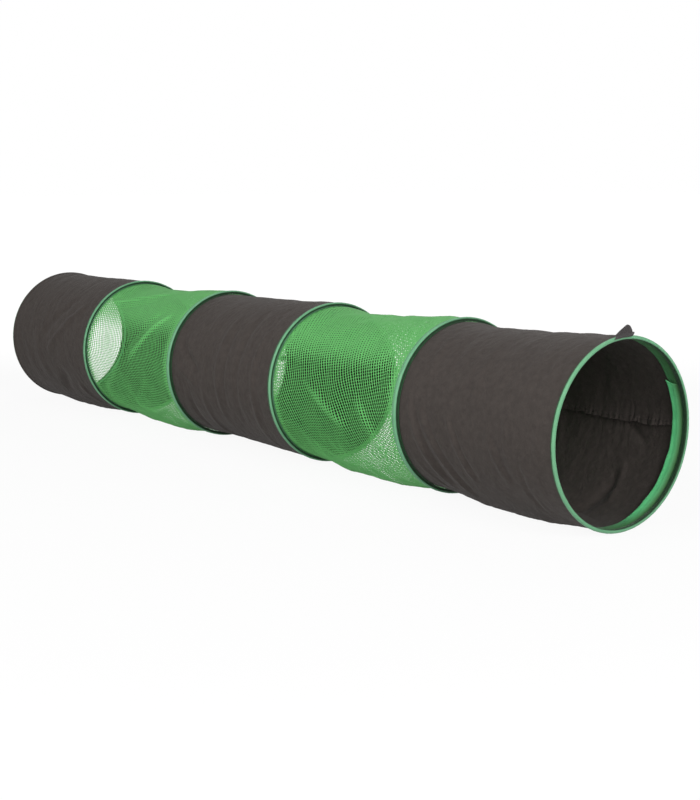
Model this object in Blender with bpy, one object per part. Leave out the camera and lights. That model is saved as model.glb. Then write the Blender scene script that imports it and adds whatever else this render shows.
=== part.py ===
"""Collapsible rabbit tunnel.

Five fabric sections stand between six round hoops: black cloth at the front, in the
middle and at the rear, and green netting between them. Each hoop is a spring steel
wire whose ends meet in a crimped ferrule, inside a folded green binding tape. The
tunnel lies along X on the floor, with its front mouth at +X, and it closes like a
concertina: every hoop slides along X towards the one in front of it.

Metres, +Z up. The origin is on the floor, under the middle of the tunnel.
"""

import math

import bmesh
import bpy
from mathutils import Vector

# Overall sizes
OVERALL_LENGTH = 1.800
RING_DIAMETER = 0.300
SECTION_COUNT = 5
HOOP_COUNT = SECTION_COUNT + 1

# Every round form has the same facets, one of them flat on the floor
SEGMENTS = 32
FACET_ANGLE = 2 * math.pi / SEGMENTS
CORNER = 1 / math.cos(FACET_ANGLE / 2)

# Hoop: wire, ferrule and the tape rolled round them
WIRE_RADIUS = 0.0010
WIRE_SIDES = 6
WIRE_END_GAP = 0.0010
FERRULE_LENGTH = 0.024
FERRULE_RADIUS = 0.00195
FERRULE_BORE = 0.0013
FERRULE_SIDES = 8
ROLL_HALF = 0.0036
TAPE = 0.0010
CHANNEL_HALF = ROLL_HALF - TAPE
CLEARANCE = 0.0003

# The tape's flanges: one outside the cloth behind its hoop, one inside the cloth in front of it
OUTER_FLANGE_REACH = 0.0065
INNER_FLANGE_REACH = 0.0075

# The wide hem of the tape inside each mouth: pinched to the cloth, then standing off it
PINCH = 0.0046
HEM_KNEE = 0.0088
HEM_KNEE_RADIUS = 0.1422
HEM_REACH = 0.024
HEM_EDGE_RADIUS = 0.1410

# Fabric: where its ends are sewn to the hoops
CLOTH = 0.0011
CLOTH_END = 0.0029
SEWN_UNDER = 0.0010
SEAM_WIDTH = 0.011
SEAM_CORNERS = 4
PANEL_STATIONS = 6

# Netting: its fine holes are drawn as a plain grid of openings, two facets wide
OPENING_FACETS = 2
NET_STRAND = 0.017

# Sections, front to rear: fabric, depth of the waist, height of the slanting folds, belly
SECTIONS = (
    ("front_cloth", "cloth", 0.0035, 0.0030, 0.0110),
    ("front_net", "net", 0.0035, 0.0012, 0.0110),
    ("middle_cloth", "cloth", 0.0010, 0.0026, 0.0),
    ("rear_net", "net", 0.0060, 0.0012, 0.0110),
    ("rear_cloth", "cloth", 0.0012, 0.0024, 0.0080),
)

# Carrying loop at the top of the front hoop
LOOP_WIDTH = 0.018
LOOP_RISE = 0.0195
LOOP_RIBBON = 0.0009
LOOP_GAP = 0.0008
LOOP_FOOT = -0.0032
LOOP_BEND = 0.0034
LOOP_SHOULDER = 0.0054
LOOP_TAIL = 0.0062
LOOP_TAIL_HEIGHT = 0.0047
LOOP_LEAN = math.radians(48)
LOOP_PLACE = math.radians(97)

# Worked out from the sizes above
LOOP_LEG = ROLL_HALF + 2 * CLEARANCE
FRONT_HOOP_X = OVERALL_LENGTH / 2 - LOOP_LEG - LOOP_RIBBON
REAR_HOOP_X = -OVERALL_LENGTH / 2 + ROLL_HALF
HOOP_PITCH = (FRONT_HOOP_X - REAR_HOOP_X) / SECTION_COUNT
CENTRE_HEIGHT = RING_DIAMETER / 2
WIRE_LINE = RING_DIAMETER / 2 - ROLL_HALF
FLANGE_UNDER = RING_DIAMETER / 2 - TAPE
CLOTH_WIDE = FLANGE_UNDER - CLEARANCE
CLOTH_NARROW = WIRE_LINE - ROLL_HALF - CLEARANCE
HEM_TOP = CLOTH_WIDE - CLOTH - CLEARANCE

GREEN = (0.125, 0.42, 0.205)
NET_GREEN = (0.09, 0.40, 0.13)
BLACK = (0.062, 0.055, 0.050)
STEEL = (0.42, 0.42, 0.43)
ZINC = (0.55, 0.56, 0.58)


def material(name, colour, roughness, metallic=0.0):
    """A plain Principled material."""
    made = bpy.data.materials.new(name)
    made.use_nodes = True
    shader = made.node_tree.nodes["Principled BSDF"]
    shader.inputs["Base Color"].default_value = (*colour, 1.0)
    shader.inputs["Roughness"].default_value = roughness
    shader.inputs["Metallic"].default_value = metallic
    return made


def add_object(name, bm, parent, finish):
    """Turn a bmesh, drawn about its hoop's centre, into one named object."""
    bmesh.ops.recalc_face_normals(bm, faces=bm.faces)
    mesh = bpy.data.meshes.new(name)
    bm.to_mesh(mesh)
    bm.free()
    mesh.shade_smooth()
    mesh.set_sharp_from_angle(angle=math.radians(40))
    colour, roughness, metallic = finish
    mesh.materials.append(material(name, colour, roughness, metallic))
    made = bpy.data.objects.new(name, mesh)
    made.parent = parent
    bpy.context.collection.objects.link(made)
    return made


def around(x, radius, angle):
    """A point at a distance from the tunnel's axis; angle 0 is the +Y side, 90 degrees the top."""
    return Vector((x, radius * math.cos(angle), radius * math.sin(angle)))


def roll_point(half, angle_degrees):
    """A corner of the eight-sided roll about the wire, as (axial, radial)."""
    reach = half / math.cos(math.pi / 8)
    angle = math.radians(angle_degrees)
    return (reach * math.cos(angle), WIRE_LINE + reach * math.sin(angle))


def spin_profile(profile, facing):
    """Turn a closed (axial, radial) outline about the tunnel's axis."""
    bm = bmesh.new()
    start = FACET_ANGLE / 2
    corners = []
    for axial, radial in profile:
        corners.append(bm.verts.new(around(facing * axial, radial * CORNER, start)))
    edges = []
    for first, second in zip(corners, corners[1:] + corners[:1]):
        edges.append(bm.edges.new((first, second)))
    bmesh.ops.spin(
        bm,
        geom=corners + edges,
        cent=(0, 0, 0),
        axis=(1, 0, 0),
        angle=2 * math.pi,
        steps=SEGMENTS,
        use_merge=True,
    )
    bmesh.ops.remove_doubles(bm, verts=bm.verts, dist=0.00001)
    return bm


def end_binding_profile():
    """Tape of a mouth hoop: round the wire, over the cloth, and a wide hem inside it."""
    outline = [(-OUTER_FLANGE_REACH, FLANGE_UNDER + TAPE)]
    outline += [roll_point(ROLL_HALF, angle) for angle in (67.5, 22.5, -22.5, -67.5, -112.5, -157.5)]
    outline += [
        (-ROLL_HALF, HEM_TOP - TAPE),
        (-HEM_KNEE, HEM_KNEE_RADIUS - TAPE),
        (-HEM_REACH, HEM_EDGE_RADIUS - TAPE),
        (-HEM_REACH, HEM_EDGE_RADIUS),
        (-HEM_KNEE, HEM_KNEE_RADIUS),
        (-PINCH, HEM_TOP),
        (-CHANNEL_HALF, HEM_TOP),
    ]
    outline += [roll_point(CHANNEL_HALF, angle) for angle in (-157.5, -112.5, -67.5, -22.5, 22.5, 67.5)]
    outline += [(-OUTER_FLANGE_REACH, FLANGE_UNDER)]
    return outline


def seam_binding_profile():
    """Tape of a hoop between two sections, with a flange over one and another inside the other."""
    roll_foot = WIRE_LINE - ROLL_HALF
    outline = [(-OUTER_FLANGE_REACH, FLANGE_UNDER + TAPE)]
    outline += [roll_point(ROLL_HALF, angle) for angle in (67.5, 22.5, -22.5)]
    outline += [
        (ROLL_HALF, roll_foot + TAPE),
        (INNER_FLANGE_REACH, roll_foot + TAPE),
        (INNER_FLANGE_REACH, roll_foot),
    ]
    outline += [roll_point(ROLL_HALF, angle) for angle in (-112.5, -157.5)]
    outline += [(-ROLL_HALF, HEM_TOP), (-CHANNEL_HALF, HEM_TOP)]
    outline += [roll_point(CHANNEL_HALF, angle) for angle in (-157.5, -112.5, -67.5, -22.5, 22.5, 67.5)]
    outline += [(-OUTER_FLANGE_REACH, FLANGE_UNDER)]
    return outline


def make_wire(number, parent):
    """Spring steel wire, bent to a ring; its two ends meet on the +Y side."""
    bm = bmesh.new()
    half_gap = math.atan(WIRE_END_GAP / 2 / WIRE_LINE)
    corners = [FACET_ANGLE * (step + 0.5) for step in range(SEGMENTS)]
    stops = [(half_gap, 1 / math.cos(half_gap))]
    stops += [(angle, CORNER) for angle in corners]
    stops += [(2 * math.pi - half_gap, 1 / math.cos(half_gap))]
    rings = []
    for angle, stretch in stops:
        ring = []
        for side in range(WIRE_SIDES):
            turn = 2 * math.pi * side / WIRE_SIDES
            radial = (WIRE_LINE + WIRE_RADIUS * math.cos(turn)) * stretch
            ring.append(bm.verts.new(around(WIRE_RADIUS * math.sin(turn), radial, angle)))
        rings.append(ring)
    for first, second in zip(rings, rings[1:]):
        for side in range(WIRE_SIDES):
            after = (side + 1) % WIRE_SIDES
            bm.faces.new((first[side], first[after], second[after], second[side]))
    bm.faces.new(rings[0])
    bm.faces.new(rings[-1])
    add_object(f"hoop_wire_{number}", bm, parent, (STEEL, 0.35, 1.0))


def make_ferrule(number, parent):
    """Crimped sleeve over the two ends of the wire."""
    bm = bmesh.new()
    rings = []
    for radius, height in (
        (FERRULE_BORE, -FERRULE_LENGTH / 2),
        (FERRULE_RADIUS, -FERRULE_LENGTH / 2),
        (FERRULE_RADIUS, FERRULE_LENGTH / 2),
        (FERRULE_BORE, FERRULE_LENGTH / 2),
    ):
        ring = []
        for side in range(FERRULE_SIDES):
            turn = 2 * math.pi * (side + 0.5) / FERRULE_SIDES
            y = WIRE_LINE + radius * math.cos(turn)
            ring.append(bm.verts.new((radius * math.sin(turn), y, height)))
        rings.append(ring)
    for first, second in zip(rings, rings[1:] + rings[:1]):
        for side in range(FERRULE_SIDES):
            after = (side + 1) % FERRULE_SIDES
            bm.faces.new((first[side], first[after], second[after], second[side]))
    add_object(f"wire_ferrule_{number}", bm, parent, (ZINC, 0.4, 1.0))


def panel_angles():
    """Corner angles of a panel; four of them draw the lapped seam on the +Y side."""
    lap = SEAM_WIDTH / 2 / CLOTH_WIDE
    step = math.radians(0.35)
    angles = [-lap - step, -lap, lap, lap + step]
    angles += [FACET_ANGLE * (count + 0.5) for count in range(SEGMENTS)]
    return angles, lap


def fabric_form(angle, along, waist, fold, belly):
    """Height of the fabric over the straight line between its hoops."""
    middle = math.sin(math.pi * along) ** 2
    behind = math.sin(math.pi * along ** 1.6) ** 2
    below = max(0.0, -math.sin(angle)) ** 6
    slant = math.sin(5 * angle + 5.5 * along) + 0.6 * math.sin(8 * angle - 4.0 * along + 1.3)
    drawn_in = waist * behind - fold * middle * slant
    return belly * min(1.0, 1.5 * middle) * below - drawn_in * (1 - below)


def add_wall_quad(bm, *corners):
    """A quad of a wall as two triangles; outer and inner walls split alike, so they stay parallel."""
    bm.faces.new((corners[0], corners[1], corners[2]))
    bm.faces.new((corners[0], corners[2], corners[3]))


def opening_spans(corner_count):
    """Corners that each opening of the netting spans; the facet of the seam has no opening."""
    spans = []
    for start in range(SEAM_CORNERS, corner_count - 1, OPENING_FACETS):
        spans.append(list(range(start, min(start + OPENING_FACETS + 1, corner_count))))
    return spans


def opening_edge(first, second, span):
    """Corners of an opening: along its front edge, then back along its rear edge."""
    row_length = (first[span[0]].co - second[span[0]].co).length
    along = NET_STRAND / 2 / row_length
    facet_width = (first[span[0]].co - first[span[1]].co).length
    across = NET_STRAND / 2 / facet_width
    inward = {span[0]: span[1], span[-1]: span[-2]}
    edge = []
    for share, columns in ((along, span), (1 - along, span[::-1])):
        for corner in columns:
            beside = inward.get(corner, corner)
            front = first[corner].co.lerp(first[beside].co, across)
            rear = second[corner].co.lerp(second[beside].co, across)
            edge.append(front.lerp(rear, share))
    return edge


def add_opening(bm, outer, inner, row, span):
    """Netting round one opening: a frame in the outer wall, one in the inner, and the edge between."""
    edges = []
    for wall in (outer, inner):
        first, second = wall[row], wall[row + 1]
        rim = [first[corner] for corner in span] + [second[corner] for corner in span[::-1]]
        edge = [bm.verts.new(place) for place in opening_edge(first, second, span)]
        for corner in range(len(rim)):
            after = (corner + 1) % len(rim)
            add_wall_quad(bm, rim[corner], rim[after], edge[after], edge[corner])
        edges.append(edge)
    over, under = edges
    for corner in range(len(over)):
        after = (corner + 1) % len(over)
        add_wall_quad(bm, over[corner], over[after], under[after], under[corner])


def make_panel(index, parent, finish):
    """One fabric section: over its front hoop's roll, inside its rear hoop's, with a lapped seam."""
    name, fabric, waist, fold, belly = SECTIONS[index]
    last = index == SECTION_COUNT - 1
    front = -CLOTH_END
    rear = -HOOP_PITCH + (CLOTH_END if last else -SEWN_UNDER)
    rear_radius = CLOTH_WIDE if last else CLOTH_NARROW
    flared_from = -OUTER_FLANGE_REACH - 0.001
    flared_to = -HOOP_PITCH + (OUTER_FLANGE_REACH if last else INNER_FLANGE_REACH) + 0.001
    run = flared_from - flared_to
    stations = [front]
    stations += [flared_from - run * step / (PANEL_STATIONS - 1) for step in range(PANEL_STATIONS)]
    stations += [rear]
    angles, lap = panel_angles()
    bm = bmesh.new()
    outer = []
    inner = []
    for x in stations:
        along = min(1.0, max(0.0, (flared_from - x) / run))
        sewn = along == 0.0 or along == 1.0
        outer_ring = []
        inner_ring = []
        for angle in angles:
            turn = (angle + FACET_ANGLE / 2) % FACET_ANGLE - FACET_ANGLE / 2
            facet = 1 / math.cos(turn)
            seam = CLOTH * 0.8 if abs(angle) <= lap * 1.001 and not sewn else 0.0
            radius = CLOTH_WIDE + (rear_radius - CLOTH_WIDE) * along
            radius += fabric_form(angle, along, waist, fold, belly)
            over = around(x, radius * facet, angle)
            under = around(x, (radius - CLOTH - seam) * facet, angle)
            over.z = max(over.z, -CENTRE_HEIGHT)
            under.z = max(under.z, -CENTRE_HEIGHT + CLOTH)
            outer_ring.append(bm.verts.new(over))
            inner_ring.append(bm.verts.new(under))
        outer.append(outer_ring)
        inner.append(inner_ring)
    for row in range(len(stations) - 1):
        sewn = row in (0, len(stations) - 2)
        spans = [] if fabric == "cloth" or sewn else opening_spans(len(angles))
        opened = [corner for span in spans for corner in span[:-1]]
        for corner in range(len(angles)):
            if corner not in opened:
                after = (corner + 1) % len(angles)
                for wall in (outer, inner):
                    first, second = wall[row], wall[row + 1]
                    add_wall_quad(bm, first[corner], first[after], second[after], second[corner])
        for span in spans:
            add_opening(bm, outer, inner, row, span)
    for end in (0, -1):
        for corner in range(len(angles)):
            after = (corner + 1) % len(angles)
            bm.faces.new((outer[end][corner], outer[end][after], inner[end][after], inner[end][corner]))
    add_object(name, bm, parent, finish)


def loop_edge(side):
    """One cut edge of the folded ribbon: its outer and inner lines, (axial, along the ribbon)."""
    lean = side * LOOP_WIDTH / 2 * math.sin(LOOP_LEAN)

    def at_height(radial):
        """Distance along this edge at a height above the wire's line."""
        return (radial + lean) / math.cos(LOOP_LEAN)

    half = LOOP_GAP / 2
    outer = [
        (LOOP_LEG + LOOP_RIBBON, at_height(LOOP_FOOT)),
        (LOOP_LEG + LOOP_RIBBON, at_height(LOOP_BEND)),
        (half + LOOP_RIBBON, at_height(LOOP_SHOULDER + LOOP_RIBBON)),
        (half + LOOP_RIBBON, LOOP_RISE),
        (-half - LOOP_RIBBON, LOOP_RISE),
        (-half - LOOP_RIBBON, at_height(LOOP_SHOULDER + LOOP_RIBBON)),
        (-LOOP_TAIL, at_height(LOOP_TAIL_HEIGHT + LOOP_RIBBON)),
    ]
    inner = [
        (LOOP_LEG, at_height(LOOP_FOOT)),
        (LOOP_LEG, at_height(LOOP_BEND - LOOP_RIBBON / 2)),
        (half, at_height(LOOP_SHOULDER)),
        (half, LOOP_RISE - LOOP_RIBBON),
        (-half, LOOP_RISE - LOOP_RIBBON),
        (-half, at_height(LOOP_SHOULDER)),
        (-LOOP_TAIL, at_height(LOOP_TAIL_HEIGHT)),
    ]
    return outer, inner


def make_loop(parent):
    """Black ribbon loop, folded over the front roll and leaning towards +Y."""
    radial = Vector((0, math.cos(LOOP_PLACE), math.sin(LOOP_PLACE)))
    tangent = Vector((0, math.sin(LOOP_PLACE), -math.cos(LOOP_PLACE)))
    rise = radial * math.cos(LOOP_LEAN) + tangent * math.sin(LOOP_LEAN)
    across = tangent * math.cos(LOOP_LEAN) - radial * math.sin(LOOP_LEAN)
    bm = bmesh.new()
    lines = []
    for side in (-1, 1):
        for line in loop_edge(side):
            corners = []
            for axial, height in line:
                point = radial * WIRE_LINE + rise * height + across * side * LOOP_WIDTH / 2
                corners.append(bm.verts.new(point + Vector((axial, 0, 0))))
            lines.append(corners)
    near_outer, near_inner, far_outer, far_inner = lines
    around_section = [near_outer, near_inner, far_inner, far_outer]
    for first, second in zip(around_section, around_section[1:] + around_section[:1]):
        for corner in range(len(first) - 1):
            bm.faces.new((first[corner], first[corner + 1], second[corner + 1], second[corner]))
    for end in (0, -1):
        bm.faces.new([line[end] for line in around_section])
    add_object("carry_loop", bm, parent, (BLACK, 0.8, 0.0))


def clear_scene():
    """Start from an empty scene."""
    for thing in list(bpy.data.objects):
        bpy.data.objects.remove(thing)


def build_hoops():
    """Six hoops, each with its wire, ferrule and binding, carried by its own empty."""
    carriers = []
    for index in range(HOOP_COUNT):
        number = index + 1
        carrier = bpy.data.objects.new(f"hoop_{number}_centre", None)
        bpy.context.collection.objects.link(carrier)
        if index == 0:
            carrier.location = (FRONT_HOOP_X, 0, CENTRE_HEIGHT)
        else:
            carrier.parent = carriers[-1]
            carrier.location = (-HOOP_PITCH, 0, 0)
        carriers.append(carrier)
        make_wire(number, carrier)
        make_ferrule(number, carrier)
        tape = (GREEN, 0.75, 0.0)
        if index == 0:
            add_object("front_binding", spin_profile(end_binding_profile(), 1), carrier, tape)
        elif index == HOOP_COUNT - 1:
            add_object("rear_binding", spin_profile(end_binding_profile(), -1), carrier, tape)
        else:
            add_object(f"seam_binding_{number}", spin_profile(seam_binding_profile(), 1), carrier, tape)
    return carriers


def build_panels(carriers):
    """Five fabric sections, each carried by the hoop in front of it."""
    finishes = {"cloth": (BLACK, 0.85, 0.0), "net": (NET_GREEN, 0.7, 0.0)}
    for index, section in enumerate(SECTIONS):
        make_panel(index, carriers[index], finishes[section[1]])


clear_scene()
hoop_carriers = build_hoops()
build_panels(hoop_carriers)
make_loop(hoop_carriers[0])
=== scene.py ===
"""Looks of the collapsible rabbit tunnel: cloth, netting, tape, stitching, light and camera.

Everything is in metres, +Z up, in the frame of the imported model. Angles run round the
tunnel's axis: 0 is the +Y side, 90 degrees the top, 180 the -Y side, 270 the bottom.
Hoops and sections are counted from the front mouth at +X, from 0 in lists and from 1 in
names. "Behind" is a distance towards -X from a hoop, which for a section is its front one.
"""

import math

import bpy
import numpy as np
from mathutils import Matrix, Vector


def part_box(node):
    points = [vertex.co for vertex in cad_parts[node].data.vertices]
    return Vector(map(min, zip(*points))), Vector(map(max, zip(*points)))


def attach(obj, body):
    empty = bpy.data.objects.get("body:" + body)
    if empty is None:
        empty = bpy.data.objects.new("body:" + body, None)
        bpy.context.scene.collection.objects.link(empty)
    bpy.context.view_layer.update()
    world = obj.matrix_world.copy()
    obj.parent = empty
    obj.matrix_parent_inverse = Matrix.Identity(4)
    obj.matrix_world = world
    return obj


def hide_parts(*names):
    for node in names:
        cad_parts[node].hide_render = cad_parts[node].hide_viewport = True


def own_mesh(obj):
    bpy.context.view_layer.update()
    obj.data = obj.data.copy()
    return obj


MM = 0.001
TURN = 2 * math.pi

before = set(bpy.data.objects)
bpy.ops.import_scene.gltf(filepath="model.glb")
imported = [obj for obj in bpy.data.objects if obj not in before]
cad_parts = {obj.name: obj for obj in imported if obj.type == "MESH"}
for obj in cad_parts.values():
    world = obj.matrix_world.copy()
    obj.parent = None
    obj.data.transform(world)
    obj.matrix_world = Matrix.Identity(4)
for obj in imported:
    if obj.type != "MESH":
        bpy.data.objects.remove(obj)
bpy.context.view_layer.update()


def middle_x(node):
    """Where the middle of a node is along the tunnel."""
    low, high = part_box(node)
    return float((low[0] + high[0]) / 2)


# Hoops: their number and places, the distance from one to the next when open and when closed, and
# the height of their middles
HOOPS = 6
LAST_HOOP = HOOPS - 1
HOOP_X = [middle_x(f"hoop_wire_{hoop + 1}") for hoop in range(HOOPS)]
PITCH = (HOOP_X[0] - HOOP_X[LAST_HOOP]) / LAST_HOOP
AXIS_Z = 0.150

# Radii from the tunnel's axis: the wires, the middle of the tape's roll, the fabric where it lies
# over a roll and where it goes in under one, and two lines along which distances round it are taken
WIRE_LINE = 0.1464
ROLL_LINE = 0.1468
WIDE = 148.1 * MM
NARROW = 142.0 * MM
FABRIC_LINE = 0.146
CREST_LINE = 0.145

# Tape: radius of its roll round the wire
ROLL = 3.2 * MM

# Sections from the front mouth: their node and their fabric
SECTIONS = (
    ("front_cloth", "cloth"),
    ("front_net", "net"),
    ("middle_cloth", "cloth"),
    ("rear_net", "net"),
    ("rear_cloth", "cloth"),
)
LAST_SECTION = len(SECTIONS) - 1

# A section's fabric starts behind its front hoop and ends behind its rear hoop, but the last section
# ends in front of it. The fabric's last part is a rim, a piece of its own that stays on the rear hoop
FABRIC_START = 2.9 * MM
FABRIC_END = 1.0 * MM
LAST_END = 0.9 * MM
RIM = 9.8 * MM

# The hem, which is the wide inner leg of a mouth hoop's tape: where it starts behind the wire, its
# width, the angle of its cut end, about how far down from there it stands loose and how far round it
# runs in degrees, and its thickness
HEM_START = 6.0 * MM
HEM_WIDTH = 19.5 * MM
HEM_CUT = 30.0
HEM_LOOSE = 108.0
HEM_TURN = 372.0
HEM_THICK = 0.45 * MM

# Netting: holes along a section and round it, how far a row of holes runs round per length, how far
# a column of holes runs along per distance round, and the half sizes of a hole as shares of a mesh
HOLES_ALONG = 60
HOLES_ROUND = 167
ROW_SLANT = 0.24
COLUMN_SLANT = 0.42
HOLE_HALF_LENGTH = 0.375
HOLE_HALF_HEIGHT = 0.48
HOLE_CORNER = 0.8
STRAND_RELIEF = 0.42 * MM

# Stitches: their length, and their spacing along a seam and round a hoop
STITCH = 2.5 * MM
SEAM_SPACING = 3.4 * MM
RING_SPACING = 3.3 * MM

# The camera, fitted to the photograph: its focal length in pixels of a frame 800 high
FOCAL_PIXELS = 1473.6
FRAME_PIXELS = 800
SENSOR_MM = 36
CAMERA_PLACE = (2.3666, -1.6494, 0.5353)
CAMERA_YAW = 142.383
CAMERA_PITCH = -8.698

# Where the lamps are turned to
LAMP_TARGET = (0.4, 0.0, 0.1)

# Folds of each section: both ends as (share of the section, degrees round), width and height in
# millimetres
FOLDS = {
    "front_cloth": (
        ((0.935, 168), (0.78, 234), 7, 3.2),
        ((0.905, 170), (0.75, 228), 6, -2.9),
        ((0.845, 174), (0.66, 236), 7, 2.9),
        ((0.815, 176), (0.64, 230), 6, -2.5),
        ((0.67, 174), (0.56, 218), 6, 2.5),
        ((0.645, 176), (0.54, 214), 5, -2.2),
        ((0.40, 180), (0.31, 214), 7, 2.0),
        ((0.375, 182), (0.29, 210), 6, -1.7),
        ((0.965, 194), (0.87, 230), 6, 2.7),
        ((0.945, 200), (0.85, 236), 5, -2.4),
        ((0.30, 148), (0.275, 200), 7, 1.5),
        ((0.22, 196), (0.19, 236), 5, -1.5),
        ((0.54, 124), (0.50, 168), 9, 1.5),
        ((0.76, 112), (0.70, 150), 12, -2.2),
        ((0.86, 120), (0.84, 160), 8, 1.5),
        ((0.55, 300), (0.42, 262), 20, -6.8),
        ((0.30, 318), (0.36, 285), 12, 5.1),
        ((0.74, 322), (0.62, 296), 14, 4.4),
        ((0.22, 345), (0.32, 354), 7, 3.1),
        ((0.30, 330), (0.26, 300), 7, -3.1),
        ((0.48, 12), (0.40, 44), 13, 3.4),
        ((0.62, 18), (0.60, 50), 8, -2.4),
        ((0.70, 330), (0.75, 354), 9, -3.1),
    ),
    "front_net": (
        ((0.10, 120), (0.55, 108), 12, 1.6),
        ((0.15, 238), (0.50, 252), 12, 1.4),
        ((0.55, 150), (0.80, 200), 16, -1.2),
        ((0.90, 200), (0.55, 236), 10, 1.0),
        ((0.72, 170), (0.42, 197), 9, 3.2),
        ((0.30, 176), (0.12, 214), 9, 2.6),
    ),
    "middle_cloth": (
        ((0.92, 158), (0.72, 178), 8, -4.6),
        ((0.96, 174), (0.76, 188), 8, 3.6),
        ((0.50, 128), (0.53, 222), 8, 2.6),
        ((0.44, 140), (0.46, 200), 7, -2.4),
        ((0.30, 120), (0.34, 212), 8, -2.7),
        ((0.15, 140), (0.18, 232), 8, 2.6),
        ((0.68, 190), (0.70, 240), 8, 2.8),
        ((0.84, 200), (0.86, 240), 8, -2.6),
    ),
    "rear_net": (
        ((0.93, 129), (0.45, 108), 6, 5.0),
        ((0.86, 136), (0.50, 122), 8, -3.1),
        ((0.47, 178), (0.16, 136), 6, 4.8),
        ((0.55, 172), (0.28, 138), 8, -3.1),
        ((0.60, 186), (0.86, 214), 8, 2.6),
        ((0.34, 196), (0.60, 222), 8, -2.2),
        ((0.12, 214), (0.44, 232), 8, 2.6),
    ),
    "rear_cloth": (
        ((0.50, 184), (0.15, 142), 9, 4.8),
        ((0.60, 176), (0.30, 134), 11, -3.4),
        ((0.34, 204), (0.46, 224), 16, -5.9),
        ((0.68, 160), (0.60, 212), 12, 1.8),
        ((0.20, 214), (0.12, 238), 9, 3.1),
    ),
}

# How far each section is drawn in at the top, the sides and the bottom, and how far its belly hangs
# down, in millimetres
DRAWN = {
    "front_cloth": (5.0, 2.5, 0.0),
    "front_net": (8.0, 3.5, 0.0),
    "middle_cloth": (1.5, 1.5, 2.0),
    "rear_net": (8.0, 4.5, 0.0),
    "rear_cloth": (1.5, 1.5, 0.0),
}
BELLY = {
    "front_cloth": 11.0,
    "front_net": 11.0,
    "middle_cloth": 0.0,
    "rear_net": 11.0,
    "rear_cloth": 8.0,
}


# Shapes in numbers


def smooth(low, high, value):
    """0 below low, 1 above high, and a smooth step between."""
    share = np.clip((value - low) / (high - low), 0.0, 1.0)
    return share * share * (3 - 2 * share)


def signed(angle):
    """The same angle, between half a turn below the +Y side and half a turn above it."""
    return np.mod(angle + math.pi, TURN) - math.pi


def waves(seed, x, angle, along, around, count=14):
    """Smooth noise of about -1 to 1, with waves of these lengths along the tunnel and round it."""
    rng = np.random.default_rng(seed)
    total = 0.0
    for _ in range(count):
        turns = round(rng.normal() * TURN * FABRIC_LINE / around)
        pace = rng.normal() * TURN / along
        total = total + np.cos(turns * angle + pace * x + rng.uniform(0, TURN))
    return total / math.sqrt(count)


def fold(behind, angle, start, end, width, height):
    """Height of one long ridge, or valley, from start to end."""
    start_x = start[0] * PITCH
    start_round = math.radians(start[1]) * CREST_LINE
    run_x = end[0] * PITCH - start_x
    run_round = math.radians(end[1]) * CREST_LINE - start_round
    x = behind - start_x
    around = angle * CREST_LINE - start_round
    share = (x * run_x + around * run_round) / math.hypot(run_x, run_round) ** 2
    near = np.clip(share, 0.0, 1.0)
    off = np.hypot(x - near * run_x, around - near * run_round)
    taper = smooth(-0.25, 0.25, share) * (1 - smooth(0.75, 1.25, share))
    return height * np.exp(-((off / width) ** 2)) * taper


def folds_height(name, behind, angle):
    """Height of a section's folds above its stretched tube."""
    around = np.mod(angle, TURN)
    height = 0.0
    for start, end, width, rise in FOLDS[name]:
        for shift in (-TURN, 0.0, TURN):
            height = height + fold(behind, around + shift, start, end, width * MM, rise * MM)
    return height


def section_span(index):
    """Distances behind its front hoop where a section's fabric starts and ends."""
    end = PITCH - LAST_END if index == LAST_SECTION else PITCH + FABRIC_END
    return FABRIC_START, end


def seam_line(index, behind):
    """How far the lengthwise seam wanders above or below mid height."""
    free = smooth(6 * MM, 40 * MM, behind) * (1 - smooth(PITCH - 40 * MM, PITCH - 6 * MM, behind))
    return 2.3 * MM * waves(300 + index, behind, 0.0, 0.060, 1.0) * free


def cloth_relief(index, behind, angle):
    """Height of a cloth's billows, crumples and fine streaks, and of the ledge along its seam."""
    seed = index * 7
    height = 0.7 * MM * waves(seed + 1, behind, angle, 0.12, 0.25)
    crumple = waves(seed + 2, behind + 0.02 * np.sin(2 * angle), angle, 0.036, 0.10)
    height = height + 0.45 * MM * (0.5 - np.abs(crumple))
    streaks = waves(seed + 3, behind, angle, 0.013, 0.050, count=24)
    height = height + 0.20 * MM * (0.6 - np.abs(streaks))
    above = signed(angle) * CREST_LINE - seam_line(index, behind)
    over = np.exp(-above / (13 * MM))
    under = np.exp(-((above / (2.4 * MM)) ** 2))
    ledge = np.where(above > 0, over, under)
    pulls = waves(seed + 8, behind, 0.0, 0.017, 1.0) * np.exp(-np.abs(above) / (17 * MM))
    return height + 1.0 * MM * pulls - 3.4 * MM * ledge


def net_relief(index, behind, angle):
    """Height of a net's soft waves."""
    seed = index * 7
    height = 0.7 * MM * waves(seed + 1, behind, angle, 0.12, 0.13)
    return height + 0.25 * MM * waves(seed + 2, behind, angle, 0.04, 0.05)


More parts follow.
